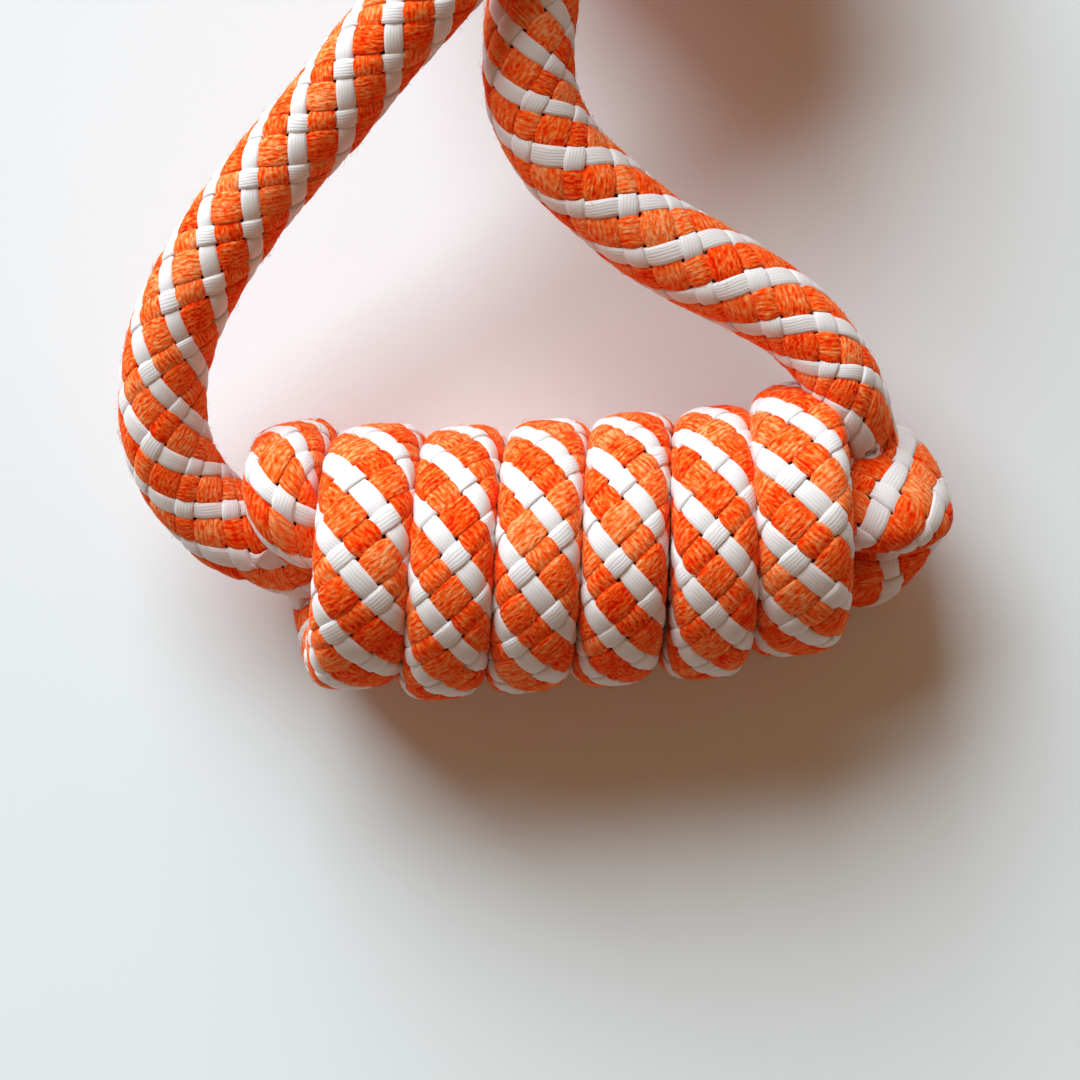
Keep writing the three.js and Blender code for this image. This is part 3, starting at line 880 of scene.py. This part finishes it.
def rope_piece(name, rope, start, end, seed, replaces, fuzz=SPARSE_FUZZ):
    """The stretch of a rope between two steps, as a piece that stands for a CAD node."""
    first, last = rope["braid"][start], rope["braid"][end]
    parts = [
        floats(rope, first, last, seed),
        lining(rope, first, last),
        fibres(rope, first, last, seed + 1, fuzz),
    ]
    before = np.cumsum([0] + [len(part["points"]) for part in parts[:-1]])
    faces = np.concatenate([part["faces"] + count for part, count in zip(parts, before)])
    points, yarn, tone, slots = (
        np.concatenate([part[key] for part in parts]) for key in ("points", "yarn", "tone", "slot")
    )
    points[:, 2] = np.maximum(points[:, 2], TABLE_GAP)
    mesh = bpy.data.meshes.new(name)
    mesh.from_pydata(points.tolist(), [], faces.tolist())
    mesh.uv_layers.new(name="yarn").data.foreach_set("uv", yarn[faces.ravel()].ravel())
    mesh.attributes.new("tone", "FLOAT", "POINT").data.foreach_set("value", tone)
    for slot in sorted(ROPE_MATERIALS):
        mesh.materials.append(ROPE_MATERIALS[slot])
    mesh.polygons.foreach_set("material_index", slots.astype(np.int32))
    mesh.polygons.foreach_set("use_smooth", np.ones(len(faces), dtype=bool))
    mesh.update()
    piece = bpy.data.objects.new(name, mesh)
    bpy.context.collection.objects.link(piece)
    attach(piece, "root")
    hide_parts(replaces)
    print(f"{name}: {2 * len(faces)} triangles")
    return piece


# %% [markdown]
# Each piece starts from a seed of its own, and its fibres from the next one, so that the toy comes
# out the same every time.

# %% Seeds
LEG_SEEDS = {"rope_leg_left": 1, "rope_leg_right": 11}
LEFT_STRAND_SEED, RIGHT_STRAND_SEED, WINDING_SEED, BALL_SEED = 31, 33, 41, 61
SEEDS_PER_PIECE = 2

# %% [markdown]
# ## The legs
#
# The legs are the rope's free stretches: it leaves the grip, stands off the table in a stiff curve
# and goes into the ball. For each, the line that it follows is worked out as a path, but nothing
# uses it.

# %% Legs
PATH_SPACING = 24


def path_of(rope, start, end):
    places = np.unique(np.append(np.arange(start, end, PATH_SPACING), end))
    return rope["points"][places].tolist()


left_end = place_of(main_rope, left_leg[-1][POINT])
right_start = place_of(main_rope, right_leg[-1][POINT])
final = len(main_rope["length"]) - 1
leg_spans = {
    "rope_leg_left": (0, left_end),
    "rope_leg_right": (right_start, final),
}
for name, (start, end) in leg_spans.items():
    leg = rope_piece(name + "_braid", main_rope, start, end, LEG_SEEDS[name], name, DENSE_FUZZ)
    path = path_of(main_rope, start, end)
    if name == "rope_leg_left":
        path = path[::-1]

# %% [markdown]
# ## The grip
#
# The winding begins where the left strand of the bore ends, and ends where the right strand
# begins. The rope also passes close by that second place on its first way through the bore, so it
# is looked for only from well past the first. The winding is one long stretch, and is cut into
# pieces only to keep each mesh small.

# %% Winding and strands
WINDING_AT_LEAST = 500 * MM
WINDING_PIECES = 4
left_bore_end = place_of(main_rope, left_bore[-1][POINT])
well_past = left_bore_end + int(WINDING_AT_LEAST / STEP)
winding_end = place_of(main_rope, right_bore[0][POINT], well_past, right_start)
rope_piece(
    "core_strand_left_braid", main_rope, left_end, left_bore_end,
    LEFT_STRAND_SEED, "grip_core_strand_left_leg",
)
rope_piece(
    "core_strand_right_braid", main_rope, winding_end, right_start,
    RIGHT_STRAND_SEED, "grip_core_strand_right_leg",
)
cuts = np.linspace(left_bore_end, winding_end, WINDING_PIECES + 1).astype(int)
for n in range(WINDING_PIECES):
    rope_piece(
        f"winding_braid_{n + 1}", main_rope, cuts[n], cuts[n + 1],
        WINDING_SEED + SEEDS_PER_PIECE * n, "grip_winding", DENSE_FUZZ,
    )

# %% [markdown]
# ## The ball knot
#
# Three sets of two passes go round a small core ball, each set over the one before. A set is a
# rounded rectangle that is walked round twice, with a small step sideways in between that the next
# set hides. At its two ends it reaches out by one layer more, to go round the set before it.

# %% The route of a set of passes
PASS_WIDE = 6.6 * MM
PASS_THIN = 5.6 * MM
PASS_APART = 13.4 * MM
LAYER_STEP = 11.4 * MM
SHORT_HALF = 19.1 * MM
STEP_HALF = 0.8 * SHORT_HALF
BALL_LEAD = 44 * MM
CORNERS = [(1, 1), (1, -1), (-1, -1), (-1, 1)]
CORNER_STEPS = 4


def pass_stations():
    rows = []

    def add(along, up, lift, side):
        thin_way = (0, math.sin(lift), math.cos(lift))
        rows.append(station(
            (side, along, up), thin_way, PASS_WIDE, PASS_THIN, PRESSED, BALL_LEAD,
        ))

    def round_once(side):
        add(STEP_HALF, SHORT_HALF, 0, side)
        for n, (along_sign, up_sign) in enumerate(CORNERS):
            for step in range(CORNER_STEPS + 1):
                lift = (n + step / CORNER_STEPS) * math.pi / 2
                add(
                    along_sign * SHORT_HALF + LAYER_STEP * math.sin(lift),
                    up_sign * PASS_APART / 2 + (SHORT_HALF - PASS_APART / 2) * math.cos(lift),
                    lift,
                    side,
                )
            if n == 1:
                add(0, -SHORT_HALF, math.pi, side)
        add(-STEP_HALF, SHORT_HALF, 0, side)

    round_once(-PASS_APART / 2)
    for way in (-0.5, 0, 0.5):
        add(way * STEP_HALF, SHORT_HALF, 0, PASS_APART / 2 * math.sin(way * math.pi / 2))
    round_once(PASS_APART / 2)
    return rows


# %% [markdown]
# All three sets have the same route, with its axes swapped round. The knot is turned so that a
# corner between the three sets faces the legs, and is made in two pieces for each set.

# %% Ball knot
LEGS_ENTRY = np.array([-0.5, -0.79, 0.33])
DOWN = np.array([0, 0, -1.0])
SET_TURNS = {
    "ball_passes_inner": np.eye(3),
    "ball_passes_middle": np.array([[0, 0, 1], [1, 0, 0], [0, 1, 0]]),
    "ball_passes_outer": np.array([[0, 1, 0], [0, 0, 1], [1, 0, 0]]),
}


def basis(first, second):
    """Three axes: along first, then towards second, then square to both."""
    one = first / np.linalg.norm(first)
    two = second - one * second.dot(one)
    two = two / np.linalg.norm(two)
    return np.stack([one, two, np.cross(one, two)], axis=1)


ball_turn = basis(LEGS_ENTRY, DOWN) @ basis(np.ones(3), DOWN).T
passes = pass_stations()
ball_seed = BALL_SEED
for name, turn in SET_TURNS.items():
    set_rope = make_rope(passes, (ball_turn @ turn, BALL_CENTRE))
    last = len(set_rope["length"]) - 1
    halves = {"first": (0, last // 2), "second": (last // 2, last)}
    for half, (start, end) in halves.items():
        rope_piece(f"{name}_{half}_braid", set_rope, start, end, ball_seed, name)
        ball_seed += SEEDS_PER_PIECE
    print(f"{name}: {set_rope['length'][-1]:.2f} m of rope")

# %% [markdown]
# The core ball is held inside the knot, and only a dark spot of it shows in the gaps at the knot's
# corners. It keeps its CAD shape and gets a plain dull rubber with a fine grain.

# %% Core ball
core_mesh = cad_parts["ball_core"].data
core_mesh.materials.clear()
core_mesh.materials.append(make_grained(
    "core_rubber", 400, (0.022, 0.022, 0.024), (0.04, 0.04, 0.042), roughness=0.85,
))

# %% [markdown]
# ## Table and light
#
# The toy lies on a pale table, which is a plain plane that reaches past the picture.

# %% Table
TABLE_SIZE = 6
bpy.ops.object.select_all(action="DESELECT")
bpy.ops.mesh.primitive_plane_add(size=TABLE_SIZE)
table = bpy.context.object
table.name = "table"
table_material, table_tree, table_shader = new_material("pale_table")
table_shader.inputs["Base Color"].default_value = (0.82, 0.82, 0.84, 1)
table_shader.inputs["Roughness"].default_value = 0.75
table.data.materials.append(table_material)

# %% [markdown]
# One large soft lamp stands low behind the ball, as a window would, and throws the long soft
# shadows of the photo. The lamp is bluish and the world warm, which together give a white table
# and warm shadows. Angles are in degrees and lengths in metres.

# %% Light
LAMP_AZIMUTH, LAMP_ELEVATION, LAMP_DISTANCE = 112, 29, 4.2
LAMP_WIDTH, LAMP_HEIGHT = 3.6, 3.57
LAMP_ENERGY, LAMP_COLOUR = 428, (0.775, 0.945, 1.0)
WORLD_STRENGTH, WORLD_COLOUR = 0.228, (1.0, 0.61, 0.33, 1)
azimuth, elevation = math.radians(LAMP_AZIMUTH), math.radians(LAMP_ELEVATION)
toward = Vector((
    math.cos(azimuth) * math.cos(elevation),
    math.sin(azimuth) * math.cos(elevation),
    math.sin(elevation),
))
lamp_data = bpy.data.lights.new("window_light", "AREA")
lamp_data.shape = "RECTANGLE"
lamp_data.size, lamp_data.size_y = LAMP_WIDTH, LAMP_HEIGHT
lamp_data.energy, lamp_data.color = LAMP_ENERGY, LAMP_COLOUR
lamp = bpy.data.objects.new("window_light", lamp_data)
bpy.context.collection.objects.link(lamp)
lamp.location = toward * LAMP_DISTANCE
lamp.rotation_euler = (-toward).to_track_quat("-Z", "Y").to_euler()
world = bpy.data.worlds.new("room")
bpy.context.scene.world = world
world.use_nodes = True
background = world.node_tree.nodes["Background"]
background.inputs["Color"].default_value = WORLD_COLOUR
background.inputs["Strength"].default_value = WORLD_STRENGTH
bpy.context.scene.view_settings.view_transform = "Standard"
print(f"lamp {LAMP_DISTANCE} m away at {LAMP_ELEVATION} degrees over the table")
